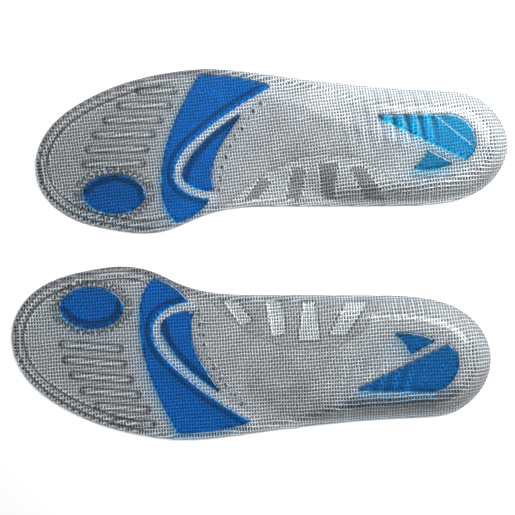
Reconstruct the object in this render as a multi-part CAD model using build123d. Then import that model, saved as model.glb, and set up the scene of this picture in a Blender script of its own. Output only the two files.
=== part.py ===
from build123d import *

import math
import os

# A pair of gel insoles lying foot side down, all sizes in mm.
# Each moulding is drawn in its own frame: +X from toe to heel, +Y towards the
# outside of the foot. place() then lays it in the pair's frame, whose origin is
# the bottom centre of the pair's box, with +Z up out of the shoe side.

# Fabric layers, and heights of the gel above the table
COVER_THICKNESS = 0.8
SCRIM_THICKNESS = 0.5
RIM_TOP = 3.0
FOREFOOT_TOP = 4.5
HEEL_TOP = 17.0
RISE_START, RISE_END = -30.0, 62.0

# The hollow under the heel and arch, where the foot's heel sits
CUP_DEPTH = 10.0
CUP_RIM = 4.0
CUP_START, CUP_END = -30.0, 45.0
BELOW_TABLE = 4.0

# Walls lean in from the rim by this angle from upright, and are drawn a little
# higher than the curved tops that trim them
WALL_LEAN = 35.0
ABOVE_ROOF = 0.5

# Across the midfoot the top sinks towards both edges: how much of the rise is
# lost at each distance across, at the middle of the arch
ARCH_MIDDLE, ARCH_REACH = 18.0, 52.0
SINK_ACROSS = [(-60, 1.0), (-34, 0.9), (-14, 0.25), (0, 0.0), (18, 0.1), (36, 0.6), (62, 0.95)]
STATIONS = [-160, -100, -60, -35, -15, 0, 15, 30, 45, 60, 80, 110, 160]
PROFILE_BOTTOM = -20.0

# Blue pads
PAD_PROUD = 0.4
PAD_FLOOR = 0.8

# Moulded details of the gel
BAR_WIDTH = 4.6
BAR_PROUD = 0.5
BAR_ROOT = 1.0
BAR_TILT = 4.0
ARCH_WINDOW_DEPTH = 1.5
WINDOW_CORNER = 1.2
ABOVE_ALL = 30.0

# How the two mouldings lie: centre, how long and how splayed each one lies, and
# which way its outer edge points
INSOLES = {
    "left": {"centre": (7.145, 63.11), "stretch": 0.9947, "splay": 0.973, "side": 1},
    "right": {"centre": (-4.955, -60.44), "stretch": 1.0095, "splay": 1.027, "side": -1},
}

# Outline of one moulding, from the toe round its outer edge to the heel and back
OUTLINE_ARCS = 4
INSET_POINTS = 40
OUTLINE = [
    (-142.5, -10), (-134, 13), (-111, 31), (-88, 41), (-65, 46.6), (-40, 49.4),
    (-18, 48), (10, 44.3), (45, 40.2), (85, 37), (108, 35.8), (123, 32.2),
    (135, 22), (142.5, 3), (137.5, -13.5), (124, -26.5), (105, -32.8), (70, -34.8),
    (10, -35), (-20, -36), (-43, -41.5), (-60, -49), (-77, -51.6), (-98, -49),
    (-120, -42.5), (-135, -31),
]

# Pad outlines: runs of points, each run a smooth curve and each joint a corner
TOE_PAD_CENTRE, TOE_PAD_RADII = (-94.7, -27.7), (19.0, 12.5)
OUTER_PAD = [
    [(-57.5, -45.5), (-64, -37), (-66.5, -20), (-65, -4), (-59.5, 14.5), (-44, 46)],
    [(-44, 46), (-22, 44.2), (1, 38.6)],
    [(1, 38.6), (-24.6, 23.2), (-44.5, 7.4), (-55.4, -5), (-58.3, -17),
     (-52.4, -25.2), (-36.5, -30.3)],
    [(-36.5, -30.3), (-46, -40.5), (-57.5, -45.5)],
]
INNER_PAD = [
    [(-16.2, 24.4), (-35, 10.6), (-50, -6.5), (-53.8, -17.5), (-47, -24), (-34, -25)],
    [(-34, -25), (-35.4, -11), (-24.5, 11.6), (-16.2, 24.4)],
]
WING_PAD = [
    [(58.5, 20), (104.7, 20.6)],
    [(104.7, 20.6), (116.2, 15.9), (121.5, 5.8), (115.7, -7.7)],
    [(115.7, -7.7), (58.5, 20)],
]
FIN_PAD = [
    [(93.2, -0.7), (108.7, -9.3)],
    [(108.7, -9.3), (95.7, -13.5), (81.5, -13.2)],
    [(81.5, -13.2), (89.1, -7.7), (93.2, -0.7)],
]
FOREFOOT_CORNER, HEEL_CORNER = 1.2, 1.3

# Toe bars: the end nearer the toe of each one, and its length
BARS = [
    ((-112, -8), 34), ((-110, 1), 34), ((-106, 10), 34), ((-99.5, 19), 32),
    ((-91, 28), 29), ((-80, 37), 21),
]

# Recessed windows between the webs of the arch fan
ARCH_WINDOWS = [
    [(-6, -16), (1, -20.5), (-8, -32), (-18, -32)],
    [(12, -10), (21, -13), (18, -32), (8, -32)],
    [(27, -8.5), (40.5, -8.5), (38, -32), (30.5, -32)],
    [(45, -11.5), (55, -11.5), (70, -32), (55.5, -32)],
]


def place(insole, x, y, z=0.0):
    """A point of one moulding, in the pair's frame."""
    along = insole["centre"][0] + insole["stretch"] * x
    across = insole["centre"][1] + insole["side"] * insole["splay"] * y
    return Vector(along, across, z)


def smooth(start, end, x):
    """0 before start, 1 after end, with a smooth rise between them."""
    t = min(max((x - start) / (end - start), 0.0), 1.0)
    return t * t * (3 - 2 * t)


def kept_rise(x, sink):
    """Share of the rise that is left beside the arch, where the top sinks by sink."""
    t = min(abs(x - ARCH_MIDDLE) / ARCH_REACH, 1.0)
    return 1 - sink * math.cos(t * math.pi / 2) ** 2


def shoe_side(x, sink):
    """Height of the gel's top along one lengthways profile."""
    rise = (HEEL_TOP - FOREFOOT_TOP) * smooth(RISE_START, RISE_END, x)
    return FOREFOOT_TOP + rise * kept_rise(x, sink)


def cup_roof(x, sink):
    """Height of the hollow's roof along one profile, below the table at the toe."""
    rise = (CUP_DEPTH + BELOW_TABLE) * smooth(CUP_START, CUP_END, x)
    return -BELOW_TABLE + rise * kept_rise(x, sink)


def raised(shape, height):
    """The same shape, higher up."""
    return shape.moved(Location((0, 0, height)))


def prism(wire, bottom, top):
    """An upright solid with this outline, between two heights."""
    return Solid.extrude(raised(Face(wire), bottom), Vector(0, 0, top - bottom))


def closed_curve(points):
    """A smooth closed curve through the points, cut into a few arcs."""
    whole = Edge.make_spline(points, periodic=True)
    cuts = [i / OUTLINE_ARCS for i in range(OUTLINE_ARCS + 1)]
    return Wire([whole.trim(start, end) for start, end in zip(cuts, cuts[1:])])


def outline_points(insole):
    """The outline of one moulding, always clockwise."""
    return [place(insole, x, y) for x, y in OUTLINE[:: insole["side"]]]


def inset_edge(insole, inset, height):
    """The moulding's outline moved in by inset, at a height."""
    whole = Edge.make_spline(outline_points(insole), periodic=True)
    points = []
    for i in range(INSET_POINTS):
        at, along = whole.position_at(i / INSET_POINTS), whole.tangent_at(i / INSET_POINTS)
        points.append(Vector(at.X + inset * along.Y, at.Y - inset * along.X, height))
    return closed_curve(points)


def leaning(insole, inset, bottom, top):
    """A solid whose walls lean in from the outline, itself moved in by inset."""
    leant = inset + (top - bottom) * math.tan(math.radians(WALL_LEAN))
    loops = [inset_edge(insole, inset, bottom), inset_edge(insole, leant, top)]
    return Solid.make_loft(loops, ruled=True)


def profile(insole, height, across, sink):
    """One lengthways slice below a curved top, as a closed outline."""
    top = [place(insole, x, across, height(x, sink)) for x in STATIONS]
    first, last = place(insole, STATIONS[0], across), place(insole, STATIONS[-1], across)
    corners = [
        top[-1], Vector(last.X, last.Y, PROFILE_BOTTOM),
        Vector(first.X, first.Y, PROFILE_BOTTOM), top[0],
    ]
    sides = [Edge.make_line(a, b) for a, b in zip(corners, corners[1:])]
    return Wire([Edge.make_spline(top), *sides])


def below(insole, height):
    """The solid under a curved top, drawn through its lengthways slices."""
    slices = SINK_ACROSS[:: insole["side"]]
    return Solid.make_loft([profile(insole, height, y, sink) for y, sink in slices])


def rounded_outline(insole, runs, radius):
    """Runs of smooth curves joined at corners, with the corners rounded."""
    edges = []
    for run in runs:
        points = [place(insole, x, y) for x, y in run]
        straight = len(points) == 2
        edges.append(Edge.make_line(*points) if straight else Edge.make_spline(points))
    face = Face(Wire(edges))
    return face.fillet_2d(radius, face.vertices()).outer_wire()


def toe_pad_outline(insole):
    """The oval under the big toe."""
    centre = place(insole, *TOE_PAD_CENTRE)
    radii = (TOE_PAD_RADII[0] * insole["stretch"], TOE_PAD_RADII[1] * insole["splay"])
    return Wire([Edge.make_ellipse(*radii, plane=Plane(centre))])


def build_pads(insole, below_skin):
    """The five blue pads: forefoot ones follow the gel, heel ones have flat tops."""
    floor = COVER_THICKNESS + SCRIM_THICKNESS + PAD_FLOOR
    below_proud = raised(below_skin, PAD_PROUD)
    heel = (CUP_DEPTH + floor, HEEL_TOP + PAD_PROUD)
    outer = rounded_outline(insole, OUTER_PAD, FOREFOOT_CORNER)
    inner = rounded_outline(insole, INNER_PAD, FOREFOOT_CORNER)
    return {
        "toe_pad": prism(toe_pad_outline(insole), floor, FOREFOOT_TOP + PAD_PROUD),
        "metatarsal_outer_pad": prism(outer, floor, ABOVE_ALL) & below_proud,
        "metatarsal_inner_pad": prism(inner, floor, ABOVE_ALL) & below_proud,
        "heel_wing_pad": prism(rounded_outline(insole, WING_PAD, HEEL_CORNER), *heel),
        "heel_fin_pad": prism(rounded_outline(insole, FIN_PAD, HEEL_CORNER), *heel),
    }


def toe_bar(insole, end, length):
    """A raised capsule that leans a little off the length of the moulding."""
    lean, half = math.radians(BAR_TILT), BAR_WIDTH / 2
    along = (math.cos(lean), math.sin(lean))
    ends = [end, (end[0] + length * along[0], end[1] + length * along[1])]

    def corner(end_at, forward, sideways):
        x = end_at[0] + half * (forward * along[0] - sideways * along[1])
        y = end_at[1] + half * (forward * along[1] + sideways * along[0])
        return place(insole, x, y)

    near = [corner(ends[0], 0, 1), corner(ends[0], -1, 0), corner(ends[0], 0, -1)]
    far = [corner(ends[1], 0, -1), corner(ends[1], 1, 0), corner(ends[1], 0, 1)]
    outline = Wire([
        Edge.make_three_point_arc(*near), Edge.make_line(near[-1], far[0]),
        Edge.make_three_point_arc(*far), Edge.make_line(far[-1], near[0]),
    ])
    return prism(outline, FOREFOOT_TOP - BAR_ROOT, FOREFOOT_TOP + BAR_PROUD)


def arch_recess(insole, window, below_skin):
    """What one arch window takes out of the gel: a shallow pocket in its top."""
    corners = [place(insole, x, y) for x, y in window]
    face = Face(Wire.make_polygon(corners, close=True))
    wire = face.fillet_2d(WINDOW_CORNER, face.vertices()).outer_wire()
    return prism(wire, RIM_TOP, ABOVE_ALL) - raised(below_skin, -ARCH_WINDOW_DEPTH)


def build_cup(insole):
    """The hollow on the foot side, as the solid of air that fills it."""
    return leaning(insole, CUP_RIM, 0, CUP_DEPTH + ABOVE_ROOF) & below(insole, cup_roof)


def fabric(edge, cup, bottom, top):
    """One layer of fabric: flat on the table, and domed over the cup."""
    return (prism(edge, bottom, top) + raised(cup, top)) - raised(cup, bottom)


def build_gel(insole, edge, cup, pads, below_skin):
    """The clear moulding, with its pockets for the pads, toe bars and arch windows."""
    layers = COVER_THICKNESS + SCRIM_THICKNESS
    walls = leaning(insole, 0, RIM_TOP, HEEL_TOP + ABOVE_ROOF)
    gel = ((prism(edge, layers, RIM_TOP) + walls) & below_skin) - raised(cup, layers)
    for pad in pads.values():
        gel = gel - pad
    for end, length in BARS:
        gel = gel + toe_bar(insole, end, length)
    for window in ARCH_WINDOWS:
        gel = gel - arch_recess(insole, window, below_skin)
    return gel


def build_insole(insole):
    """All the separate pieces of one moulding."""
    edge = inset_edge(insole, 0, 0)
    below_skin = below(insole, shoe_side)
    cup = build_cup(insole)
    pads = build_pads(insole, below_skin)
    layers = COVER_THICKNESS + SCRIM_THICKNESS
    return {
        "cover_cloth": fabric(edge, cup, 0, COVER_THICKNESS),
        "mesh_scrim": fabric(edge, cup, COVER_THICKNESS, layers),
        "gel_body": build_gel(insole, edge, cup, pads, below_skin),
        **pads,
    }


def main():
    os.makedirs("parts", exist_ok=True)
    for name, insole in INSOLES.items():
        for node, solid in build_insole(insole).items():
            export_step(solid, f"parts/{name}_{node}.step")


main()
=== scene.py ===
import math

import bmesh
import bpy
import numpy as np
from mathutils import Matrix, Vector, geometry


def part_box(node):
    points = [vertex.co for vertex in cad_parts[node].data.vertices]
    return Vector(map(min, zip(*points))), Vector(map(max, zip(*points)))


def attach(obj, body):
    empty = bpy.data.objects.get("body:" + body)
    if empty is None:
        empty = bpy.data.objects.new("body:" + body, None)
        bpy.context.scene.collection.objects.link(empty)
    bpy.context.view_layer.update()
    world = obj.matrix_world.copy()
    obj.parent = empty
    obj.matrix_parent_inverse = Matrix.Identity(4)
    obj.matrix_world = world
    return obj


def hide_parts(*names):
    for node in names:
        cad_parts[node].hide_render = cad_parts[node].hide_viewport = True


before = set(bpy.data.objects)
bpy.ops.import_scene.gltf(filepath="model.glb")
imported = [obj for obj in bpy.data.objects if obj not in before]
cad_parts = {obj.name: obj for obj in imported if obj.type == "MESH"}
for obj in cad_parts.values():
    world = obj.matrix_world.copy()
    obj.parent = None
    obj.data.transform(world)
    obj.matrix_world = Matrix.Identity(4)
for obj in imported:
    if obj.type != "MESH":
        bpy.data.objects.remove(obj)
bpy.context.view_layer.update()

MM = 0.001
SIDES = {"left": 1.0, "right": -1.0}

# The insole's own frame, in mm: +x from toe to heel, +y to the outer side. It is
# laid on each moulding by that moulding's box.
DESIGN_LOW, DESIGN_HIGH = np.array([-142.53, -51.6]), np.array([142.5, 49.41])
SPINE_TOE, SPINE_HEEL = np.array([-95.0, -6.0]), np.array([99.0, 1.5])
SPINE_BULGE = 5.0

# Mesh density of the moulded surfaces, in mm. The plain layers keep one ring in
# RIM_STRIDE near the edge, and one in INNER_STRIDE inside it.
OUTLINE_STEP, STATION_STEP = 1.6, 0.75
FAN_STEP_TOE, FAN_STEP_HEEL = math.radians(0.95), math.radians(1.15)
RIM_RINGS, RIM_RING_STEP, INNER_RINGS = 26, 0.38, 56
RIM_STRIDE, INNER_STRIDE = 2, 8

# Slack for comparing points: against division by 0, for shares of a run, in mm, in
# decimals of a mm, and in metres where points are welded
TINY, PARALLEL, SHARE_SLACK = 1e-12, 1e-9, 1e-6
SAME_HEIGHT, DECIMALS, WELD = 0.01, 3, 2e-6

# Heights of the layers and of the moulding, in mm
CLOTH_TOP, SCRIM_MIDDLE, GEL_BOTTOM, SKIN_THICKNESS = 0.8, 1.1, 0.72, 1.4
WALL_SLOPE = 1 / math.tan(math.radians(35.0))
RIM_TOP, FOREFOOT_TOP, HEEL_TOP = 2.4, 4.5, 17.0
RISE_START, RISE_END = -30.0, 62.0
CUP_DEPTH, CUP_RIM, CUP_START, CUP_END, BELOW_TABLE = 10.0, 4.0, -30.0, 45.0, 4.0
ARCH_MIDDLE, ARCH_REACH = 18.0, 52.0
SINK_ACROSS = [(-60, 1.0), (-34, 0.9), (-14, 0.25), (0, 0.0), (18, 0.1), (36, 0.6), (62, 0.95)]
PAD_PROUD, EDGE_FADE, PLATEAU = 0.4, (-1.2, 0.5), (1.0, 3.5)

# How far the creases of the soft mouldings are rounded, in mm
CUP_ROUND, EDGE_ROUND, SHOULDER_ROUND, ROUND_LOSS = 3.5, 1.2, 0.25, 0.25

# Weave of the scrim, in mm
WEFT_PITCH, WARP_PITCH = 1.66, 2.0
WEFT_WIDTH, WARP_WIDTH, THREAD_THICKNESS = 0.8, 0.86, 0.36
CRIMP = 0.1
WEAVE_TILT = {"left": math.radians(7.0), "right": math.radians(-4.0)}
SCRIM_EDGE, EDGE_HALVINGS = 0.25, 7
WEAVE_REACH, WEAVE_DRIFT, DRIFT_WAVES = 165.0, 0.16, ((0.07, 0.31), (0.23, 0.05))
SECTION_SIDES = ((0, 1), (1, 2), (2, 3), (3, 0))

# Moulded details of the gel side, in mm, in the insole's own frame
BARS = [
    ((-112, -8), 34), ((-110, 1), 34), ((-106, 10), 34), ((-99.5, 19), 32),
    ((-91, 28), 29), ((-80, 37), 21),
]
BAR_TILT = {"left": math.radians(1.0), "right": math.radians(4.5)}
BAR_SHIFT = {"left": -1.6, "right": 1.7}
BAR_HALF_WIDTH, BAR_HEIGHT = 2.3, 0.55
# Painted shade on the bars' rims and ends and a painted highlight on their crests: how strong, and
# below, how wide
BAR_RIM_SHADE, BAR_END_SHADE, BAR_CREST_HIGHLIGHT = 0.66, 0.4, 0.8
BAR_RIM_INSET, BAR_RIM_WIDTH, BAR_END_WIDTH, BAR_CREST_WIDTH = 0.3, 0.75, 1.5, 0.8
BAR_CREST_END = (0.85, 1.0)
DOTS = [
    (-5.9, 27.5), (-10.5, 23.0), (-14.6, 18.0), (-18.6, 12.6), (-22.2, 7.0), (-25.4, 1.0),
    (-27.9, -5.2), (-29.4, -11.8), (-30.5, -18.4), (-31.1, -24.8),
]
# The studs, with painted shade on them
DOT_RADIUS, DOT_HEIGHT, DOT_PAINTED_SHADE, DOT_SHADE_WIDTH = 1.9, 1.0, 0.6, 1.5
TRIM_LINES, TRIM_WIDTH, TRIM_DEPTH, TRIM_END = (2.7, 7.2), 0.8, 0.5, (-68.0, -58.0)
# Painted shade in the trim grooves and a painted highlight beside each
TRIM_SHADE, TRIM_EDGE_HIGHLIGHT, TRIM_EDGE, TRIM_EDGE_WIDTH = 0.72, 0.55, 1.6, 0.6
OVAL_CENTRE, OVAL_RADII = (-94.7, -27.7), (19.0, 12.5)
# The fringe's ribs, with painted shade between them
FRINGE_RIBS, FRINGE_WIDTH, FRINGE_FADE, FRINGE_HEIGHT, FRINGE_SHADE = 34, 4.4, 0.6, 0.5, 0.6
# The ripples, with painted light and dark bands along them, stronger on the left
WAVE_PITCH, WAVE_HEIGHT, WAVE_PAINTED_LIGHT = 7.8, 0.25, {"left": 0.26, "right": 0.09}
WAVE_START, WAVE_STOP, WAVE_EDGE = (28.0, 62.0), (88.0, 106.0), (14.0, 22.0)
WAVE_SIDE, WAVE_SLANT = (-4.0, 8.0), 0.2
# Painted light and dark patches along the midfoot: strength, pitches and phase
SWAY_PAINTED_LIGHT, SWAY_PITCH, SWAY_PHASE = 0.07, (27.0, 34.0), 1.0
SWAY_START, SWAY_STOP = (-30.0, 0.0), (70.0, 100.0)

# Light and shade painted into the clear gel's colour: its usual tone, painted shade over the toe
# and painted light over the heel, a painted bright field above a line over the outer half, painted
# light along the channel, a painted shade round the pads, painted shade along the forefoot's rim
# and in a heel corner, and strips (line, half width, tint) of painted shade and painted blue
# beside the heel pads
CLEAR_TINT, GEL_TONE, TONE_RANGE = np.array([0.96, 0.98, 0.985]), 0.79, (0.2, 1.3)
# Painted shade, darker towards the toe
TOE_SHADE, TOE_FADE = {"left": 0.8, "right": 0.94}, (-110.0, -20.0)
# Painted light over the heel's medial half (none on the right)
HEEL_PAINTED_LIGHT, HEEL_START, HEEL_SIDE = {"left": 1.24, "right": 1.0}, (60.0, 90.0), (-16.0, -8.0)
# Painted light: a brighter field above this line over the outer half, fading towards the heel
BRIGHT_LINE = [(-20, 38), (2.5, 30.8), (38.7, 15.4), (90, 0), (125, -12)]
BRIGHT_TONE, BRIGHT_FADE = {"left": 1.27, "right": 1.05}, (-1.5, 3.0)
BRIGHT_START, BRIGHT_STOP, BRIGHT_LOSS = (-20.0, 15.0), (112.0, 128.0), 0.6
# Painted light along the channel between the forefoot pads
CHANNEL_PAINTED_LIGHT, CHANNEL_WIDTH = 1.25, 3.6
# Painted shade round the blue pads: how dark, how wide, and the step along their outlines
PAD_EDGE_SHADE, PAD_EDGE_WIDTH, PAD_EDGE_STEP = 0.22, 1.7, 2.5
# Painted shade: a dark band along the forefoot's rim, on the same side of the pair for both
# insoles
RIM_SHADE, RIM_SHADE_WIDTH, RIM_SHADE_FADE = np.array([0.22, 0.2, 0.22]), 3.6, 0.7
RIM_SHADE_SIDE, RIM_SHADE_STOP = (-6.0, 6.0), (-45.0, -20.0)
# Painted shade in a corner of the heel end, near its edge
CORNER_SHADE_TINT, CORNER_SHADE, CORNER_WIDTH = np.array([0.3, 0.29, 0.3]), 0.85, (2.0, 9.0)
CORNER_START, CORNER_SIDE = (102.0, 132.0), (-14.0, 2.0)
# Strips beside the heel pads: painted shade, and painted light blue as if refracted from the pad
STRIP_FADE = 0.4
PAINTED_STRIPS = {
    "left": [([(86, -14.6), (106, -14.2)], 1.9, (0.5, 0.85, 1.0)),
             ([(84, -18), (108, -17.5)], 0.9, (0.35, 0.35, 0.4))],
    "right": [([(59, 27.2), (106, 27), (119, 19.6)], 3.4, (0.24, 0.27, 0.31)),
              ([(60, 21.9), (107, 22.2)], 1.0, (0.45, 0.78, 1.0))],
}

# The arch fan: its upper edge, the windows, and painted light and shade on window, web and window
# rim
FAN_EDGE = [
    (-27.6, -33.9), (-14, -21.5), (-0.5, -12.3), (17.6, -4.9), (32.7, -3.1), (50.8, -4.9),
    (66.9, -14.5), (76, -31),
]
ARCH_WINDOWS = [
    [(-6, -16), (1, -20.5), (-8, -32), (-18, -32)],
    [(12, -10), (21, -13), (18, -32), (8, -32)],
    [(27, -8.5), (40.5, -8.5), (38, -32), (30.5, -32)],
    [(45, -11.5), (55, -11.5), (70, -32), (55.5, -32)],
]
ARCH_PAINTED_LIGHT = {"left": (0.7, 1.16, 0.2), "right": (1.32, 0.88, -0.3)}
# Window depth and slope, the fade of their painted tone, and the width of their painted rim
WINDOW_DEPTH, WINDOW_SLOPE, WINDOW_FADE, WINDOW_RIM_WIDTH = 0.5, 2.4, 1.3, 0.8
FAN_STEP, FAN_FADE, FAN_START, FAN_STOP = 0.3, 2.0, (-32.0, -26.0), (74.0, 80.0)
# A painted shade line along the fan's upper edge
FAN_LINE_SHADE, FAN_LINE_INSET, FAN_LINE_WIDTH = 0.3, 0.4, 0.7

# Ribs on the heel's medial wall, with painted light and dark streaks along them
HEEL_RIB_START, HEEL_RIB_STOP, HEEL_RIB_SIDE = (78.0, 84.0), (102.0, 108.0), (-25.0, -20.0)
HEEL_RIB_PITCH, HEEL_RIB_HEIGHT, HEEL_RIB_PAINTED_LIGHT, HEEL_RIB_INSET = 5.2, 0.2, 0.18, (1.0, 2.5)

# Blue pads: creases, lips, painted shade, mesh, rounded edge and depth, in mm
CREASE_HEIGHT, CREASE_WIDTH = 0.3, 0.45
CURVE_PIECES, LIP_FADE, LIP_SLOPE, RIPPLE_SHARE = 6, 0.4, 0.5, 0.5
PAD_TONE_RANGE, HEEL_PAD_START = (0.1, 1.2), (40.0, 60.0)
# Heel pads painted in a shaded copy of the blue on the right insole
HEEL_PAD_SHADE = {"left": np.ones(3), "right": np.array([0.5, 0.66, 0.95])}
PAD_OUTLINE_STEP, PAD_GRID_STEP, PAD_GRID_INSET, PAD_MERGE = 0.75, 0.85, 0.55, 1e-5
PAD_ROUND_DROP, PAD_ROUND_WIDTH = 0.55, 1.1
FOREFOOT_PAD_DEPTH, HEEL_PAD_DEPTH = 1.2, 1.6
OVAL_LIP = [
    (-112, -24.6), (-106.5, -19.4), (-96, -16.4), (-85, -18.3), (-77.6, -23.6), (-76.6, -30),
]
OUTER_LIP = [(1, 38.6), (-24.6, 23.2), (-44.5, 7.4), (-55.4, -5), (-58.3, -17),
             (-52.4, -25.2), (-36.5, -30.3)]
INNER_LIP = [(-16.2, 24.4), (-35, 10.6), (-50, -6.5), (-53.8, -17.5)]
WING_LIP, WING_CREASE = [(61.5, 19.4), (104.7, 20.1)], ((96.1, 18.9), (117.8, 1.1))
FIN_LIP = [(108, -9.7), (95.7, -13.1), (83, -12.9)]
OVAL_CREASES = [((-103, -27), (-97, -34)), ((-97, -34), (-84, -36))]

# Each pad: the line its lip follows, where its band of painted shade starts and ends, how
# far it rises, fine creases, which blue, and whether the top follows the gel
PADS = {
    "toe_pad": (
        {"line": OVAL_LIP, "from": 0.9, "to": 4.4, "rise": 0.3, "dark": 0.32,
         "creases": OVAL_CREASES}, "deep", True),
    "metatarsal_outer_pad": (
        {"line": OUTER_LIP, "from": 2.2, "to": 5.4, "rise": 0.3, "dark": 0.3,
         "creases": []}, "deep", True),
    "metatarsal_inner_pad": (
        {"line": INNER_LIP, "from": 1.0, "to": 4.5, "rise": 0.3, "dark": 0.3,
         "creases": []}, "deep", True),
    "heel_wing_pad": (
        {"line": WING_LIP, "from": 0.5, "to": 3.0, "rise": 0.1, "dark": 0.12,
         "creases": [WING_CREASE]}, "light", False),
    "heel_fin_pad": (
        {"line": FIN_LIP, "from": 0.4, "to": 2.5, "rise": 0.1, "dark": 0.2,
         "creases": []}, "light", False),
}

# Gels: name, colour, what a ray to a light keeps of itself, roughness, how strong
# the skin's bumps are and how much clear coat lies on them
GELS = {
    "gel": ("clear_gel", (1.0, 1.0, 1.0), (0.93, 0.96, 0.97), 0.16, 0.2, 0.0),
    "deep": ("deep_blue_gel", (0.0, 0.33, 0.93), (0.84, 0.89, 0.94), 0.268, 0.1, 0.35),
    "light": ("light_blue_gel", (0.004, 0.46, 0.8), (0.85, 0.89, 0.94), 0.25, 0.1, 0.35),
}
GEL_SURFACE = {"Transmission Weight": 1.0, "IOR": 1.4, "Coat Roughness": 0.03}
GEL_CLOUDY, GEL_CLOUD_STOPS, GEL_SKIN_DEPTH = 0.9, (0.3, 0.7), 0.0006

# Noise: features per metre and detail. Shades: where on the pattern, and colour.
# Bumps: strength, and depth in metres.
GEL_CLOUD, GEL_SKIN = (60.0, 3.0), (240.0, 2.0)
THREAD_FIBRE, THREAD_TWIST = (900.0, 3.0), (2600.0, 2.0)
THREAD_SHADES = [(0.3, (0.28, 0.29, 0.3)), (0.62, (0.5, 0.515, 0.525))]
THREAD_SURFACE, THREAD_BUMP = {"Roughness": 0.42, "Sheen Weight": 0.3}, (0.35, 0.0002)
KNIT_SCALE, KNIT_WANDER = 180.0, 0.8
CLOTH_SHADES = [(0.0, (0.022, 0.028, 0.034)), (0.8, (0.075, 0.088, 0.1))]
CLOTH_SURFACE, CLOTH_BUMP = {"Roughness": 0.9, "Sheen Weight": 0.4}, (0.5, 0.0003)
FLOOR_GRAIN, FLOOR_SHADES = (6.0, 2.0), [(0.3, (0.9, 0.9, 0.9)), (0.7, (0.93, 0.93, 0.93))]
FLOOR_SURFACE = {"Roughness": 0.8, "Specular IOR Level": 0.1}
FLOOR_HALF, FLOOR_DROP = 3.0, 0.0002

# Camera straight above, and lights (place, size, power), in metres and watts, with
# the camera's sensor in mm
CAMERA_DISTANCE, CAMERA_PLACE, SEEN_WIDTH, SENSOR = 0.95, (-0.0014, -0.00205), 0.309, 36.0
LIGHTS = {"key": ((0.4, 0.42, 0.52), 0.6, 13.4), "back": ((-0.45, 0.8, 0.6), 0.8, 3.5)}
SKY_STRENGTH = 0.2


# ---------------------------------------------------------------- numbers

def smooth(start, end, x):
    """0 before start, 1 after end, with a smooth rise between them."""
    t = np.clip((x - start) / (end - start), 0, 1)
    return t * t * (3 - 2 * t)


def soft_min(a, b, radius):
    """The lower of two heights, with the crease between them rounded."""
    return 0.5 * (a + b - np.sqrt((a - b) ** 2 + radius * radius))


def dome(distance, reach):
    """1 at distance 0, falling like a round bead to 0 at reach."""
    return np.sqrt(np.clip(1 - (distance / reach) ** 2, 0, 1))


def distance_to_line(points, line, closed=True):
    """Distance of every point from a line of joined runs."""
    ends = np.roll(line, -1, axis=0) if closed else line[1:]
    starts = line if closed else line[:-1]
    nearest = np.full(len(points), np.inf)
    for a, b in zip(starts, ends):
        run = b - a
        t = np.clip(((points - a) @ run) / max(run @ run, TINY), 0, 1)
        away = points - (a + t[:, None] * run)
        nearest = np.minimum(nearest, (away * away).sum(axis=1))
    return np.sqrt(nearest)


def curved(line):
    """A smooth line through the given points."""
    line = np.array(line, dtype=float)
    held = np.vstack([2 * line[0] - line[1], line, 2 * line[-1] - line[-2]])
    t = np.arange(CURVE_PIECES)[:, None] / CURVE_PIECES
    runs = []
    for a, b, c, d in zip(held, held[1:], held[2:], held[3:]):
        bend = (2 * a - 5 * b + 4 * c - d) * t ** 2 + (3 * b - a - 3 * c + d) * t ** 3
        runs.append(b + 0.5 * ((c - a) * t + bend))
    return np.vstack([*runs, line[-1:]])


def inside(points, loop):
    """Whether every point lies inside a closed loop."""
    x, y = points[:, 0], points[:, 1]
    hit = np.zeros(len(points), dtype=bool)
    for a, b in zip(loop, np.roll(loop, -1, axis=0)):
        crosses = (a[1] > y) != (b[1] > y)
        at = a[0] + (y - a[1]) * (b[0] - a[0]) / (b[1] - a[1] if b[1] != a[1] else TINY)
        hit ^= crosses & (x < at)
    return hit


def resample(loop, step):
    """A closed loop with points every step, starting at its first point."""
    closed = np.vstack([loop, loop[:1]])
    runs = np.linalg.norm(np.diff(closed, axis=0), axis=1)
    at = np.concatenate([[0], np.cumsum(runs)])
    wanted = np.arange(0, at[-1], at[-1] / round(at[-1] / step))
    return np.stack([np.interp(wanted, at, closed[:, k]) for k in (0, 1)], axis=1)


# ------------------------------------------------------ reading the frame

def lowest_edges(node):
    """The edges, in mm, that border a CAD node's lowest flat facets."""
    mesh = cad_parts[node].data
    points = np.array([v.co[:] for v in mesh.vertices]) / MM
    low = points[:, 2].min()
    keys = [tuple(p) for p in np.round(points, DECIMALS)]
    count = {}
    for polygon in mesh.polygons:
        corners = [keys[i] for i in polygon.vertices]
        if max(c[2] for c in corners) - low < SAME_HEIGHT:
            for a, b in zip(corners, corners[1:] + corners[:1]):
                pair = frozenset((a, b))
                count[pair] = count.get(pair, 0) + 1
    return [tuple(pair) for pair, times in count.items() if times == 1 and len(pair) == 2]


def cad_outline(node):
    """The outer loop of a CAD node's lowest flat facets, in mm."""
    links = {}
    for a, b in lowest_edges(node):
        links.setdefault(a, []).append(b)
        links.setdefault(b, []).append(a)
    loops = []
    while links:
        here, before = min(links), None
        loop = [here]
        while ahead := [p for p in links.pop(here, []) if p != before and p in links]:
            before, here = here, ahead[0]
            loop.append(here)
        loops.append(np.array(loop)[:, :2])
    return max(loops, key=lambda loop: np.ptp(loop[:, 0]))


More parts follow.
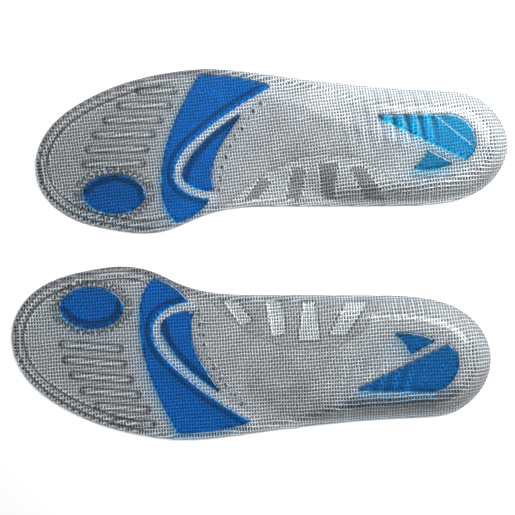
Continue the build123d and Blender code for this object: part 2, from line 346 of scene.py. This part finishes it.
class Insole:
    """One moulding: its outline, its own frame and its surfaces' heights."""

    def __init__(self, side):
        self.side, self.sign = side, SIDES[side]
        low, high = (np.array(corner[:2]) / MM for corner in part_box(f"{side}_cover_cloth"))
        self.scale = (high - low) / (DESIGN_HIGH - DESIGN_LOW) * (1.0, self.sign)
        self.origin = (high + low) / 2 - self.scale * (DESIGN_HIGH + DESIGN_LOW) / 2
        self.outline = self.read_outline("cover_cloth", OUTLINE_STEP)
        # The pads' outlines, for the painted shade round them
        self.pad_edges = [self.read_outline(node, PAD_EDGE_STEP) for node in PADS]
        self.spokes = spokes(self.outline)

    def read_outline(self, node, step):
        """The outline of one of this insole's CAD nodes, in the insole's own frame."""
        return resample(self.own(cad_outline(f"{self.side}_{node}")), step)

    def own(self, points):
        """Points of the pair's frame in the insole's own frame, in mm."""
        return (np.asarray(points) - self.origin) / self.scale

    def placed(self, points, heights):
        """Points of the insole's own frame, in the pair's frame and in metres."""
        flat = np.asarray(points) * self.scale + self.origin
        return np.column_stack([flat, heights]) * MM

    def inset(self, points):
        """Distance of each point from the outline."""
        return distance_to_line(points, self.outline)

    def flat_size(self):
        """Width and length of the flat fabric, in metres."""
        length, width = (float(np.ptp(self.outline[:, k])) * MM for k in (0, 1))
        return width * abs(self.scale[1]), length * self.scale[0]

    def flat_area(self):
        """Area of the flat fabric, in square metres."""
        doubled = np.cross(self.outline, np.roll(self.outline, -1, axis=0)).sum()
        return abs(doubled) / 2 * abs(self.scale[0] * self.scale[1]) * (MM * MM)

    @staticmethod
    def kept_rise(points):
        """Share of the rise that is left at each point beside the arch."""
        across, sinks = zip(*SINK_ACROSS)
        sink = np.interp(points[:, 1], across, sinks)
        t = np.minimum(np.abs(points[:, 0] - ARCH_MIDDLE) / ARCH_REACH, 1)
        return 1 - sink * np.cos(t * math.pi / 2) ** 2

    def cup(self, points, inset):
        """How far the fabric is lifted off the table."""
        roof = (CUP_DEPTH + BELOW_TABLE) * smooth(CUP_START, CUP_END, points[:, 0])
        roof = roof * self.kept_rise(points) - BELOW_TABLE
        wall = (inset - CUP_RIM) * WALL_SLOPE
        return np.maximum(soft_min(roof, wall, CUP_ROUND), 0)

    def gel_base(self, points, inset):
        """The gel's top without its moulded details."""
        rise = (HEEL_TOP - FOREFOOT_TOP) * smooth(RISE_START, RISE_END, points[:, 0])
        top = FOREFOOT_TOP + rise * self.kept_rise(points)
        wall = RIM_TOP + inset * WALL_SLOPE
        rounding = EDGE_ROUND + SHOULDER_ROUND * (top - FOREFOOT_TOP)
        height = soft_min(top + ROUND_LOSS, wall, rounding)
        return np.maximum(height, RIM_TOP * smooth(*EDGE_FADE, inset))


# ------------------------------------------------------- building meshes

def make_object(name, points, faces, material):
    """A smooth-shaded mesh object from points in metres."""
    mesh = bpy.data.meshes.new(name)
    mesh.from_pydata([tuple(p) for p in points], [], [tuple(int(i) for i in f) for f in faces])
    mesh.validate()
    work = bmesh.new()
    work.from_mesh(mesh)
    bmesh.ops.remove_doubles(work, verts=work.verts, dist=WELD)
    bmesh.ops.recalc_face_normals(work, faces=work.faces)
    work.to_mesh(mesh)
    work.free()
    mesh.shade_smooth()
    mesh.materials.append(material)
    obj = bpy.data.objects.new(name, mesh)
    bpy.context.collection.objects.link(obj)
    return obj


def spokes(outline):
    """Spine points and unit directions round the moulding, with where each meets the edge."""
    count = int((SPINE_HEEL[0] - SPINE_TOE[0]) / STATION_STEP)
    t = np.linspace(0, 1, count)
    spine = SPINE_TOE + t[:, None] * (SPINE_HEEL - SPINE_TOE)
    spine[:, 1] += SPINE_BULGE * np.sin(t * math.pi)
    toe = np.arange(math.pi / 2, 3 * math.pi / 2, FAN_STEP_TOE)[1:]
    heel = np.arange(-math.pi / 2, math.pi / 2, FAN_STEP_HEEL)[1:]
    start = np.vstack([spine[::-1], np.tile(spine[0], (len(toe), 1)), spine,
                       np.tile(spine[-1], (len(heel), 1))])
    toe_fan, heel_fan = (np.column_stack([np.cos(t), np.sin(t)]) for t in (toe, heel))
    way = np.vstack([np.tile((0.0, 1.0), (count, 1)), toe_fan,
                     np.tile((0.0, -1.0), (count, 1)), heel_fan])
    return start, way, reach_of(start, way, outline)


def reach_of(start, way, outline):
    """How far the edge is from each start, going its way."""
    reach = np.zeros(len(start))
    for a, b in zip(outline, np.roll(outline, -1, axis=0)):
        run, to_a = b - a, a - start
        cross = way[:, 0] * run[1] - way[:, 1] * run[0]
        cross = np.where(np.abs(cross) < PARALLEL, PARALLEL, cross)
        along = (to_a[:, 0] * run[1] - to_a[:, 1] * run[0]) / cross
        share = (to_a[:, 0] * way[:, 1] - to_a[:, 1] * way[:, 0]) / cross
        meets = (share >= -SHARE_SLACK) & (share <= 1 + SHARE_SLACK) & (along > 0)
        reach = np.where(meets, np.maximum(reach, along), reach)
    return reach


def ring_points(insole, rings):
    """Rings of points from the edge (row 0) to the spine (last row)."""
    start, way, reach = insole.spokes
    rows = []
    rim = RIM_RING_STEP * RIM_RINGS
    for ring in rings:
        if ring <= RIM_RINGS:
            depth = np.full(len(reach), RIM_RING_STEP * ring)
        else:
            depth = rim + (reach - rim) * (ring - RIM_RINGS) / INNER_RINGS
        rows.append(start + (reach - depth)[:, None] * way)
    return np.array(rows)


def ring_faces(rows, columns, offset=0):
    """Quads between neighbouring closed rings of points."""
    r, c = np.meshgrid(np.arange(rows - 1), np.arange(columns), indexing="ij")
    nxt = (c + 1) % columns
    quads = np.stack([r * columns + c, r * columns + nxt, (r + 1) * columns + nxt,
                      (r + 1) * columns + c], axis=-1)
    return quads.reshape(-1, 4) + offset


def closed_layer(insole, name, top, bottom, rings_top, rings_bottom, material):
    """A closed piece between two height functions, meeting round its edge."""
    upper, lower = ring_points(insole, rings_top), ring_points(insole, rings_bottom)
    columns = upper.shape[1]
    parts = []
    for block, height in ((upper, top), (lower, bottom)):
        flat = block.reshape(-1, 2)
        parts.append(insole.placed(flat, height(flat, insole.inset(flat))))
    split = len(parts[0])
    rim = [(c, (c + 1) % columns, split + (c + 1) % columns, split + c) for c in range(columns)]
    faces = np.vstack([
        ring_faces(len(rings_top), columns), np.array(rim),
        ring_faces(len(rings_bottom), columns, split),
    ])
    return make_object(name, np.vstack(parts), faces, material)


# --------------------------------------------------- details of the gel side

def bell(distance, width):
    """1 at distance 0, falling smoothly to nothing."""
    return np.exp(-((distance / width) ** 2))


def bar_relief(insole, points):
    """The toe bars: raised beads with painted shade on their rims, most at their ends, and a
    painted highlight along their crests.
    """
    rise, tone = np.zeros(len(points)), np.ones(len(points))
    tilt = BAR_TILT[insole.side]
    way = np.array([math.cos(tilt), math.sin(tilt)])
    for end, length in BARS:
        start = np.array([end[0], end[1] + BAR_SHIFT[insole.side]])
        line = np.array([start, start + length * way])
        near = distance_to_line(points, line, closed=False)
        along = np.abs((points - line.mean(axis=0)) @ way) / (length / 2)
        rise += BAR_HEIGHT * dome(near, BAR_HALF_WIDTH)
        rim = bell(near - BAR_HALF_WIDTH + BAR_RIM_INSET, BAR_RIM_WIDTH)
        to_end = np.minimum(*(np.hypot(*(points - tip).T) for tip in line))
        tone -= BAR_RIM_SHADE * rim + BAR_END_SHADE * bell(to_end, BAR_END_WIDTH)
        crest = bell(near, BAR_CREST_WIDTH) * (1 - smooth(*BAR_CREST_END, along))
        tone += BAR_CREST_HIGHLIGHT * crest
    return rise, tone


def dot_relief(points):
    """The row of small round studs beside the forefoot pads, with painted shade on them."""
    rise, tone = np.zeros(len(points)), np.ones(len(points))
    for dot in DOTS:
        near = np.hypot(*(points - dot).T)
        rise += DOT_HEIGHT * dome(near, DOT_RADIUS)
        tone -= DOT_PAINTED_SHADE * bell(near, DOT_SHADE_WIDTH)
    return rise, tone


def trim_relief(points, inset):
    """The two moulded trimming lines round the toe, with painted shade in the grooves and a
    painted highlight beside each.
    """
    rise, tone = np.zeros(len(points)), np.ones(len(points))
    forefoot = 1 - smooth(*TRIM_END, points[:, 0])
    for line in TRIM_LINES:
        groove = forefoot * bell(inset - line, TRIM_WIDTH)
        rise -= TRIM_DEPTH * groove
        tone -= TRIM_SHADE * groove
        tone += TRIM_EDGE_HIGHLIGHT * forefoot * bell(inset - line - TRIM_EDGE, TRIM_EDGE_WIDTH)
    return rise, tone


def fringe_relief(points):
    """Short ribs standing out like rays round the oval pad, with painted shade between them."""
    away = (points - OVAL_CENTRE) / OVAL_RADII
    outside = (np.hypot(*away.T) - 1) * OVAL_RADII[1]
    band = smooth(0, FRINGE_FADE, outside)
    band = band * (1 - smooth(FRINGE_WIDTH - 2 * FRINGE_FADE, FRINGE_WIDTH, outside))
    ray = 0.5 + 0.5 * np.cos(FRINGE_RIBS * np.arctan2(away[:, 1], away[:, 0]))
    return FRINGE_HEIGHT * band * ray, 1 - FRINGE_SHADE * band * (1 - ray)


def wave_relief(insole, points):
    """Soft ripples across the outer half of the heel end, with painted light and dark bands along
    them.
    """
    x, y = points.T
    half = smooth(*WAVE_SIDE, y) * smooth(*WAVE_START, x) * (1 - smooth(*WAVE_STOP, x))
    ripple = half * np.sin(2 * math.pi * (x + WAVE_SLANT * y) / WAVE_PITCH)
    level = 1 - smooth(*WAVE_EDGE, y)
    return WAVE_HEIGHT * level * ripple, 1 + WAVE_PAINTED_LIGHT[insole.side] * ripple


def painted_light_patches(points):
    """Painted soft light and dark patches along the midfoot."""
    x, y = points.T
    midfoot = smooth(*SWAY_START, x) * (1 - smooth(*SWAY_STOP, x))
    along = np.sin(2 * math.pi * x / SWAY_PITCH[0] + SWAY_PHASE)
    return 1 + SWAY_PAINTED_LIGHT * midfoot * (along * np.cos(2 * math.pi * y / SWAY_PITCH[1]))


def arch_windows(points):
    """How sunken each point is, how far it takes its window's painted light and shade, and how
    near to a window's rim it is, 0 to 1.
    """
    depth, pane, rim = (np.zeros(len(points)) for _ in range(3))
    for window in ARCH_WINDOWS:
        loop = np.array(window, dtype=float)
        near = distance_to_line(points, loop)
        held = inside(points, loop)
        depth = np.maximum(depth, np.where(held, smooth(0, WINDOW_SLOPE, near), 0))
        pane = np.maximum(pane, np.where(held, smooth(0, WINDOW_FADE, near), 0))
        rim = np.maximum(rim, bell(near, WINDOW_RIM_WIDTH))
    return depth, pane, rim


def arch_relief(insole, points):
    """The arch fan: a raised field with webs between its sunken windows, painted light and shade
    on them, and a painted shade line along its edge.
    """
    x, y = points.T
    below_edge = np.interp(x, *zip(*FAN_EDGE)) - y
    fan = smooth(0, FAN_FADE, below_edge) * smooth(*FAN_START, x) * (1 - smooth(*FAN_STOP, x))
    depth, pane, rim = arch_windows(points)
    window_tone, web_tone, rim_tone = ARCH_PAINTED_LIGHT[insole.side]
    tone = 1 + fan * ((window_tone - 1) * pane + (web_tone - 1) * (1 - pane))
    line = bell(below_edge - FAN_LINE_INSET, FAN_LINE_WIDTH) * (fan > 0)
    tone += rim_tone * fan * rim - FAN_LINE_SHADE * line
    return fan * (FAN_STEP * (1 - depth) - WINDOW_DEPTH * depth), tone


def heel_relief(points, inset):
    """Upright ribs on the heel's medial wall, with painted light and dark streaks along them."""
    x, y = points.T
    ribs = smooth(*HEEL_RIB_START, x) * (1 - smooth(*HEEL_RIB_STOP, x))
    ribs = ribs * (1 - smooth(*HEEL_RIB_SIDE, y)) * smooth(*HEEL_RIB_INSET, inset)
    wave = ribs * np.sin(2 * math.pi * x / HEEL_RIB_PITCH)
    return HEEL_RIB_HEIGHT * wave, 1 + HEEL_RIB_PAINTED_LIGHT * wave


def relief(insole, points, inset):
    """Height, and painted light and shade, that the moulded details add to the plain gel."""
    plateau = smooth(*PLATEAU, inset)
    rise, tone = trim_relief(points, inset)
    ribs, rib_tone = heel_relief(points, inset)
    rise, tone = rise + ribs, tone * rib_tone
    for details in (bar_relief(insole, points), dot_relief(points), fringe_relief(points),
                    wave_relief(insole, points), arch_relief(insole, points)):
        rise, tone = rise + details[0] * plateau, tone * (1 + (details[1] - 1) * plateau)
    return rise, np.clip(tone, *TONE_RANGE)


def gel_top(insole, points, inset):
    """The gel side, never thinner than its skin over the fabric."""
    height = insole.gel_base(points, inset) + relief(insole, points, inset)[0]
    skin = GEL_BOTTOM + insole.cup(points, inset) + SKIN_THICKNESS * smooth(0, 1, inset)
    return np.maximum(height, skin)


def strip(points, line, half_width):
    """1 within half_width of a line and 0 outside."""
    near = distance_to_line(points, np.array(line, dtype=float), closed=False)
    return 1 - smooth(half_width - STRIP_FADE, half_width + STRIP_FADE, near)


def blend_in(tint, weight, colour):
    """The tint, taken towards a colour by weight."""
    return tint + weight[:, None] * (np.asarray(colour) - tint)


def changed(change, weight):
    """A factor on the tone: change where weight is 1, and none where it is 0."""
    return 1 + (change - 1) * weight


def gel_painted_light(insole, points, inset):
    """The clear gel's painted light and shade: on its details, and in fields along it."""
    x, y = points.T
    side = insole.side
    # Painted light over the heel's medial half
    heel = smooth(*HEEL_START, x) * (1 - smooth(*HEEL_SIDE, y))
    # Painted light above the bright line
    bright = smooth(*BRIGHT_FADE, y - np.interp(x, *zip(*BRIGHT_LINE))) * smooth(*BRIGHT_START, x)
    bright = bright * (1 - BRIGHT_LOSS * smooth(*BRIGHT_STOP, x))
    # Painted light along the channel, where the painted shade round the pads is left out
    channel = strip(points, curved(OUTER_LIP), CHANNEL_WIDTH)
    tone = GEL_TONE * relief(insole, points, inset)[1] * painted_light_patches(points)
    # Painted shade over the toe
    tone = tone * changed(TOE_SHADE[side], 1 - smooth(*TOE_FADE, x))
    tone = tone * changed(HEEL_PAINTED_LIGHT[side], heel) * changed(BRIGHT_TONE[side], bright)
    tone = tone * changed(CHANNEL_PAINTED_LIGHT, channel)
    # Painted shade round the pads
    for edge in insole.pad_edges:
        near = bell(distance_to_line(points, edge), PAD_EDGE_WIDTH)
        tone = tone * (1 - PAD_EDGE_SHADE * (1 - channel) * near)
    return tone


def gel_painted_tint(insole, points, inset):
    """The clear gel's tint: its painted light and shade, painted shade on the forefoot rim and a
    heel corner, and the painted strips.
    """
    x, y = points.T
    outward = y * insole.sign
    tint = np.clip(gel_painted_light(insole, points, inset), 0, 1)[:, None] ** 2 * CLEAR_TINT
    # Painted shade along the forefoot's rim
    rim = smooth(*RIM_SHADE_SIDE, outward) * (1 - smooth(*RIM_SHADE_STOP, x))
    rim = rim * (1 - smooth(RIM_SHADE_WIDTH - RIM_SHADE_FADE, RIM_SHADE_WIDTH + RIM_SHADE_FADE, inset))
    tint = blend_in(tint, rim, RIM_SHADE)
    # Painted shade in a heel corner
    corner = smooth(*CORNER_START, x) * (1 - smooth(*CORNER_SIDE, outward))
    corner = CORNER_SHADE * corner * (1 - smooth(*CORNER_WIDTH, inset))
    tint = blend_in(tint, corner, CORNER_SHADE_TINT)
    # Painted shade and painted refracted blue beside the heel pads
    for line, half_width, colour in PAINTED_STRIPS[insole.side]:
        tint = blend_in(tint, strip(points, line, half_width), colour)
    return tint


def pad_painted_shade(insole, points, lip):
    """Painted shade in the blue: a darker band beside the edge that faces the channel, the
    ripples' painted bands, and a shaded blue on the right heel pads.
    """
    near = distance_to_line(points, curved(lip["line"]), closed=False)
    band = smooth(lip["from"] - LIP_FADE, lip["from"], near)
    band = band * (1 - smooth(lip["to"] - 2 * LIP_FADE, lip["to"], near))
    tone = (1 - lip["dark"] * band) * wave_relief(insole, points)[1]
    tint = np.clip(tone, *PAD_TONE_RANGE)[:, None] ** 2 * np.ones(3)
    # The right insole's heel pads painted in a shaded copy of the blue
    heel = smooth(*HEEL_PAD_START, points[:, 0])
    return tint * blend_in(np.ones(3), heel, HEEL_PAD_SHADE[insole.side])


def paint(insole, obj, tint, *extra):
    """Stores a tint of painted light and shade for every vertex, as the colour attribute that the
    gels read.
    """
    count = len(obj.data.vertices)
    points = np.empty(count * 3)
    obj.data.vertices.foreach_get("co", points)
    flat = insole.own(points.reshape(-1, 3)[:, :2] / MM)
    colours = np.ones((count, 4))
    colours[:, :3] = tint(insole, flat, *extra)
    layer = obj.data.color_attributes.new("tint", "FLOAT_COLOR", "POINT")
    layer.data.foreach_set("color", colours.ravel())


# ----------------------------------------------------------------- weave

def crossings(insole):
    """Where the threads cross, in the insole's own frame, and which way they run."""
    tilt = WEAVE_TILT[insole.side]
    turn = np.array([[math.cos(tilt), -math.sin(tilt)], [math.sin(tilt), math.cos(tilt)]])
    weft = np.arange(-WEAVE_REACH, WEAVE_REACH, WEFT_PITCH)
    warp = np.arange(-WEAVE_REACH / 2, WEAVE_REACH / 2, WARP_PITCH)
    gx, gy = np.meshgrid(weft, warp, indexing="ij")
    drift = np.stack([np.sin(gx * a + gy * b) for a, b in DRIFT_WAVES], axis=-1)
    return (np.stack([gx, gy], axis=-1) + WEAVE_DRIFT * drift) @ turn.T, turn


def edge_points(insole, held, gone):
    """Where the threads from points inside to points outside leave the scrim."""
    low, high = np.zeros(len(held)), np.ones(len(held))
    for _ in range(EDGE_HALVINGS):
        middle = (low + high) / 2
        at = held + middle[:, None] * (gone - held)
        kept = inside(at, insole.outline) & (insole.inset(at) > SCRIM_EDGE)
        low, high = np.where(kept, middle, low), np.where(kept, high, middle)
    return held + low[:, None] * (gone - held)


def thread_rings(insole, flat, crimp, width, sideways):
    """Four corners of a thread's section at each point."""
    height = SCRIM_MIDDLE + insole.cup(flat, insole.inset(flat)) + crimp
    ring = [(-width / 2, 0), (0, THREAD_THICKNESS / 2), (width / 2, 0), (0, -THREAD_THICKNESS / 2)]
    corners = [insole.placed(flat + aside * sideways, height + above) for aside, above in ring]
    return np.stack(corners, axis=1).reshape(-1, 3)


def held_crossings(insole, flat):
    """Which crossings lie on the scrim."""
    low, high = insole.outline.min(axis=0), insole.outline.max(axis=0)
    boxed = ((flat > low) & (flat < high)).all(axis=2)
    held = np.zeros(flat.shape[:2], dtype=bool)
    held[boxed] = inside(flat[boxed], insole.outline) & (insole.inset(flat[boxed]) > SCRIM_EDGE)
    return held


def threads(insole, flat, held, crimp, axis, width, sideways):
    """All threads that run one way: a section at each crossing and where they end."""
    count = held.sum()
    index = np.full(held.shape, -1)
    index[held] = np.arange(count)
    index_ahead, flat_ahead = np.roll(index, -1, axis=axis), np.roll(flat, -1, axis=axis)
    held_ahead = np.roll(held, -1, axis=axis)
    both, leaving, entering = held & held_ahead, held & ~held_ahead, held_ahead & ~held

    points = [thread_rings(insole, flat[held], crimp[held], width, sideways)]
    links, faces, used = [(index[both] * 4, index_ahead[both] * 4)], [], 4 * count
    for mask, kept, gone, ids in ((leaving, flat, flat_ahead, index),
                                  (entering, flat_ahead, flat, index_ahead)):
        ends = edge_points(insole, kept[mask], gone[mask])
        points.append(thread_rings(insole, ends, 0.0, width, sideways))
        section = used + 4 * np.arange(len(ends))
        links.append((ids[mask] * 4, section))
        faces.append(np.stack([section + k for k in range(4)], axis=-1))
        used += 4 * len(ends)
    for a, b in links:
        faces += [np.stack([a + k, a + n, b + n, b + k], axis=-1) for k, n in SECTION_SIDES]
    return np.vstack(points), np.vstack(faces)


def weave(insole, name, material):
    """Over and under threads, one point of each thread at every crossing."""
    flat, turn = crossings(insole)
    held = held_crossings(insole, flat)
    crimp = np.where(np.indices(held.shape).sum(axis=0) % 2, -CRIMP, CRIMP)
    weft, weft_faces = threads(insole, flat, held, crimp, 1, WEFT_WIDTH, turn[:, 0])
    warp, warp_faces = threads(insole, flat, held, -crimp, 0, WARP_WIDTH, turn[:, 1])
    faces = np.vstack([weft_faces, warp_faces + len(weft)])
    return make_object(name, np.vstack([weft, warp]), faces, material)


# ------------------------------------------------------------------ pads

def filled_outline(outline):
    """Points and triangles that fill an outline, with its own points first."""
    low, high = outline.min(axis=0), outline.max(axis=0)
    gx, gy = np.meshgrid(np.arange(low[0], high[0], PAD_GRID_STEP),
                         np.arange(low[1], high[1], PAD_GRID_STEP))
    gx = gx + (np.arange(gx.shape[0]) % 2)[:, None] * PAD_GRID_STEP / 2
    grid = np.column_stack([gx.ravel(), gy.ravel()])
    near = distance_to_line(grid, outline)
    points = np.vstack([outline, grid[inside(grid, outline) & (near > PAD_GRID_INSET)]])
    ring = len(outline)
    edges = [(i, (i + 1) % ring) for i in range(ring)]
    found = geometry.delaunay_2d_cdt([Vector(p) for p in points], edges, [], 1, PAD_MERGE)
    return np.array([v[:] for v in found[0]]), [tuple(t) for t in found[2]]


def pad_top(insole, flat, outline, lip, base):
    """Heights of a pad's top: a rounded edge, a lip, ripples and fine creases."""
    inset = distance_to_line(flat, outline)
    round_edge = dome(np.maximum(PAD_ROUND_WIDTH - inset, 0), PAD_ROUND_WIDTH) - 1
    near = distance_to_line(flat, curved(lip["line"]), closed=False)
    step = lip["rise"] * (1 - smooth(lip["from"] - LIP_SLOPE, lip["from"] + LIP_SLOPE, near))
    ripple = RIPPLE_SHARE * wave_relief(insole, flat)[0]
    top = base + PAD_PROUD + PAD_ROUND_DROP * round_edge + step + ripple
    for start, end in lip["creases"]:
        crease = distance_to_line(flat, np.array([start, end], dtype=float), closed=False)
        top = top + CREASE_HEIGHT * bell(crease, CREASE_WIDTH)
    return top


def pad_piece(insole, node, lip, material, follows_gel):
    """A blue pad: a closed slab with a rounded edge and a raised lip inside it."""
    outline = insole.read_outline(node, PAD_OUTLINE_STEP)
    flat, tris = filled_outline(outline)
    base, depth = np.full(len(flat), HEEL_TOP), HEEL_PAD_DEPTH
    if follows_gel:
        base, depth = insole.gel_base(flat, insole.inset(flat)), FOREFOOT_PAD_DEPTH
    upper = insole.placed(flat, pad_top(insole, flat, outline, lip, base))
    lower = insole.placed(flat, base - depth)
    count = len(flat)
    rim = [int(np.argmin(((flat - p) ** 2).sum(axis=1))) for p in outline]
    faces = tris + [tuple(i + count for i in reversed(t)) for t in tris]
    for a, b in zip(rim, rim[1:] + rim[:1]):
        faces += [(a, b, b + count), (a, b + count, a + count)]
    name = f"{insole.side}_{node}".replace("_pad", "_gel_pad")
    pad = make_object(name, np.vstack([upper, lower]), faces, material)
    paint(insole, pad, pad_painted_shade, lip)
    return pad


# -------------------------------------------------------------- materials

def new_material(name, surface):
    """A material, its nodes and links, and its shader with the given surface values."""
    material = bpy.data.materials.new(name)
    material.use_nodes = True
    nodes = material.node_tree.nodes
    shader = nodes["Principled BSDF"]
    for socket, value in surface.items():
        shader.inputs[socket].default_value = value
    return material, nodes, material.node_tree.links, shader


def object_noise(nodes, links, scale, detail):
    """Noise fixed to the object."""
    place = nodes.new("ShaderNodeTexCoord")
    noise = nodes.new("ShaderNodeTexNoise")
    noise.inputs["Scale"].default_value = scale
    noise.inputs["Detail"].default_value = detail
    links.new(place.outputs["Object"], noise.inputs["Vector"])
    return noise


def colour_ramp(nodes, links, source, stops):
    """A ramp from a pattern to colours, one at each stop."""
    ramp = nodes.new("ShaderNodeValToRGB")
    ramp.color_ramp.elements.remove(ramp.color_ramp.elements[1])
    for k, (at, colour) in enumerate(stops):
        stop = ramp.color_ramp.elements[0] if k == 0 else ramp.color_ramp.elements.new(at)
        stop.position, stop.color = at, (*colour, 1)
    links.new(source, ramp.inputs["Fac"])
    return ramp


def add_bump(nodes, links, source, shader, strength, distance):
    """Bumps on a shader's surface, as high as a pattern is bright."""
    bump = nodes.new("ShaderNodeBump")
    bump.inputs["Strength"].default_value = strength
    bump.inputs["Distance"].default_value = distance
    links.new(source, bump.inputs["Height"])
    links.new(bump.outputs["Normal"], shader.inputs["Normal"])


def see_through(nodes, links, shader, light):
    """Lets light reach what lies under a clear material, tinted by it."""
    clear = nodes.new("ShaderNodeBsdfTransparent")
    clear.inputs["Color"].default_value = (*light, 1)
    path = nodes.new("ShaderNodeLightPath")
    mix = nodes.new("ShaderNodeMixShader")
    links.new(path.outputs["Is Shadow Ray"], mix.inputs["Fac"])
    links.new(shader.outputs["BSDF"], mix.inputs[1])
    links.new(clear.outputs["BSDF"], mix.inputs[2])
    links.new(mix.outputs["Shader"], nodes["Material Output"].inputs["Surface"])


def gel_material(name, colour, light, roughness, bump, coat):
    """A glossy gel: its colour times the tint of painted light and shade stored at each vertex."""
    surface = {**GEL_SURFACE, "Roughness": roughness, "Coat Weight": coat}
    material, nodes, links, shader = new_material(name, surface)
    tint = nodes.new("ShaderNodeVertexColor")
    tint.layer_name = "tint"
    cloud = object_noise(nodes, links, *GEL_CLOUD)
    shades = (tuple(c * GEL_CLOUDY for c in colour), colour)
    ramp = colour_ramp(nodes, links, cloud.outputs["Fac"], list(zip(GEL_CLOUD_STOPS, shades)))
    mix = nodes.new("ShaderNodeMix")
    mix.data_type, mix.blend_type = "RGBA", "MULTIPLY"
    mix.inputs["Factor"].default_value = 1.0
    links.new(ramp.outputs["Color"], mix.inputs["A"])
    links.new(tint.outputs["Color"], mix.inputs["B"])
    links.new(mix.outputs["Result"], shader.inputs["Base Color"])
    skin = object_noise(nodes, links, *GEL_SKIN)
    add_bump(nodes, links, skin.outputs["Fac"], shader, bump, GEL_SKIN_DEPTH)
    see_through(nodes, links, shader, light)
    return material


def scrim_thread():
    """Pale grey thread with fine fibres and a twist."""
    material, nodes, links, shader = new_material("scrim_thread", THREAD_SURFACE)
    fibre = object_noise(nodes, links, *THREAD_FIBRE)
    ramp = colour_ramp(nodes, links, fibre.outputs["Fac"], THREAD_SHADES)
    links.new(ramp.outputs["Color"], shader.inputs["Base Color"])
    twist = object_noise(nodes, links, *THREAD_TWIST)
    add_bump(nodes, links, twist.outputs["Fac"], shader, *THREAD_BUMP)
    return material


def cover_fabric():
    """Charcoal cloth with a fine knit of ribs and courses."""
    material, nodes, links, shader = new_material("cover_fabric", CLOTH_SURFACE)
    place = nodes.new("ShaderNodeTexCoord")
    knit = nodes.new("ShaderNodeMath")
    knit.operation = "MULTIPLY"
    for k, way in enumerate(("X", "Y")):
        wave = nodes.new("ShaderNodeTexWave")
        wave.bands_direction = way
        wave.inputs["Scale"].default_value = KNIT_SCALE
        wave.inputs["Distortion"].default_value = KNIT_WANDER
        links.new(place.outputs["Object"], wave.inputs["Vector"])
        links.new(wave.outputs["Fac"], knit.inputs[k])
    ramp = colour_ramp(nodes, links, knit.outputs[0], CLOTH_SHADES)
    links.new(ramp.outputs["Color"], shader.inputs["Base Color"])
    add_bump(nodes, links, knit.outputs[0], shader, *CLOTH_BUMP)
    return material


def pale_floor():
    """A plain pale floor with a faint grain."""
    material, nodes, links, shader = new_material("pale_floor", FLOOR_SURFACE)
    grain = object_noise(nodes, links, *FLOOR_GRAIN)
    ramp = colour_ramp(nodes, links, grain.outputs["Fac"], FLOOR_SHADES)
    links.new(ramp.outputs["Color"], shader.inputs["Base Color"])
    return material


# ------------------------------------------------------ camera, light, floor

def set_camera():
    """A camera that looks straight down on the pair."""
    camera = bpy.data.objects.new("camera", bpy.data.cameras.new("camera"))
    bpy.context.collection.objects.link(camera)
    camera.data.sensor_width = SENSOR
    camera.data.lens = camera.data.sensor_width * CAMERA_DISTANCE / SEEN_WIDTH
    camera.location = (*CAMERA_PLACE, CAMERA_DISTANCE + 0.5 * FOREFOOT_TOP * MM)
    bpy.context.scene.camera = camera


def area_light(name, location, size, energy):
    """A square soft light that faces the middle of the pair."""
    data = bpy.data.lights.new(name, "AREA")
    data.shape, data.size, data.energy = "SQUARE", size, energy
    lamp = bpy.data.objects.new(name, data)
    lamp.location = location
    lamp.rotation_euler = (-Vector(location)).to_track_quat("-Z", "Y").to_euler()
    bpy.context.collection.objects.link(lamp)


def set_light():
    """A white sky and the soft lights."""
    world = bpy.data.worlds.new("studio")
    bpy.context.scene.world = world
    world.use_nodes = True
    sky = world.node_tree.nodes["Background"]
    sky.inputs["Color"].default_value = (1, 1, 1, 1)
    sky.inputs["Strength"].default_value = SKY_STRENGTH
    for name, (location, size, energy) in LIGHTS.items():
        area_light(name, location, size, energy)


def set_floor():
    """The floor that the pair lies on."""
    half = FLOOR_HALF
    corners = [(-half, -half, 0), (half, -half, 0), (half, half, 0), (-half, half, 0)]
    floor = make_object("floor", corners, [(0, 1, 2, 3)], pale_floor())
    floor.location.z = -FLOOR_DROP


# ------------------------------------------------------------------ build

def build_layers(insole, materials):
    """The cover cloth, the scrim and the clear gel of one insole."""
    side, body = insole.side, f"{insole.side}_insole"
    all_rings = list(range(RIM_RINGS + INNER_RINGS + 1))
    few_rings = all_rings[:RIM_RINGS:RIM_STRIDE] + all_rings[RIM_RINGS::INNER_STRIDE]
    flat, area = insole.flat_size(), insole.flat_area()

    cover = closed_layer(
        insole, f"{side}_cover", lambda p, d: CLOTH_TOP + insole.cup(p, d),
        lambda p, d: insole.cup(p, d), few_rings, few_rings, materials["cover"])
    scrim = weave(insole, f"{side}_scrim", materials["thread"])
    gel = closed_layer(
        insole, f"{side}_gel", lambda p, d: gel_top(insole, p, d),
        lambda p, d: GEL_BOTTOM + insole.cup(p, d), all_rings, few_rings, materials["gel"])
    for piece, node, slot in ((cover, "cover_cloth", "cover_cloth"),
                              (scrim, "mesh_scrim", "mesh_scrim"),
                              (gel, "gel_body", "clear_gel")):
        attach(piece, body)
        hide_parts(f"{side}_{node}")
    paint(insole, gel, lambda held, points: gel_painted_tint(held, points, held.inset(points)))


def build_pads(insole, materials):
    """The blue pads of one insole."""
    side, body = insole.side, f"{insole.side}_insole"
    for node, (lip, colour, follows) in PADS.items():
        pad = pad_piece(insole, node, lip, materials[colour], follows)
        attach(pad, body)
        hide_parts(f"{side}_{node}")


bpy.context.scene.view_settings.view_transform = "Standard"
set_camera()
set_light()
set_floor()
MATERIALS = {use: gel_material(*look) for use, look in GELS.items()}
MATERIALS.update(thread=scrim_thread(), cover=cover_fabric())
for moulding in map(Insole, SIDES):
    build_layers(moulding, MATERIALS)
    build_pads(moulding, MATERIALS)
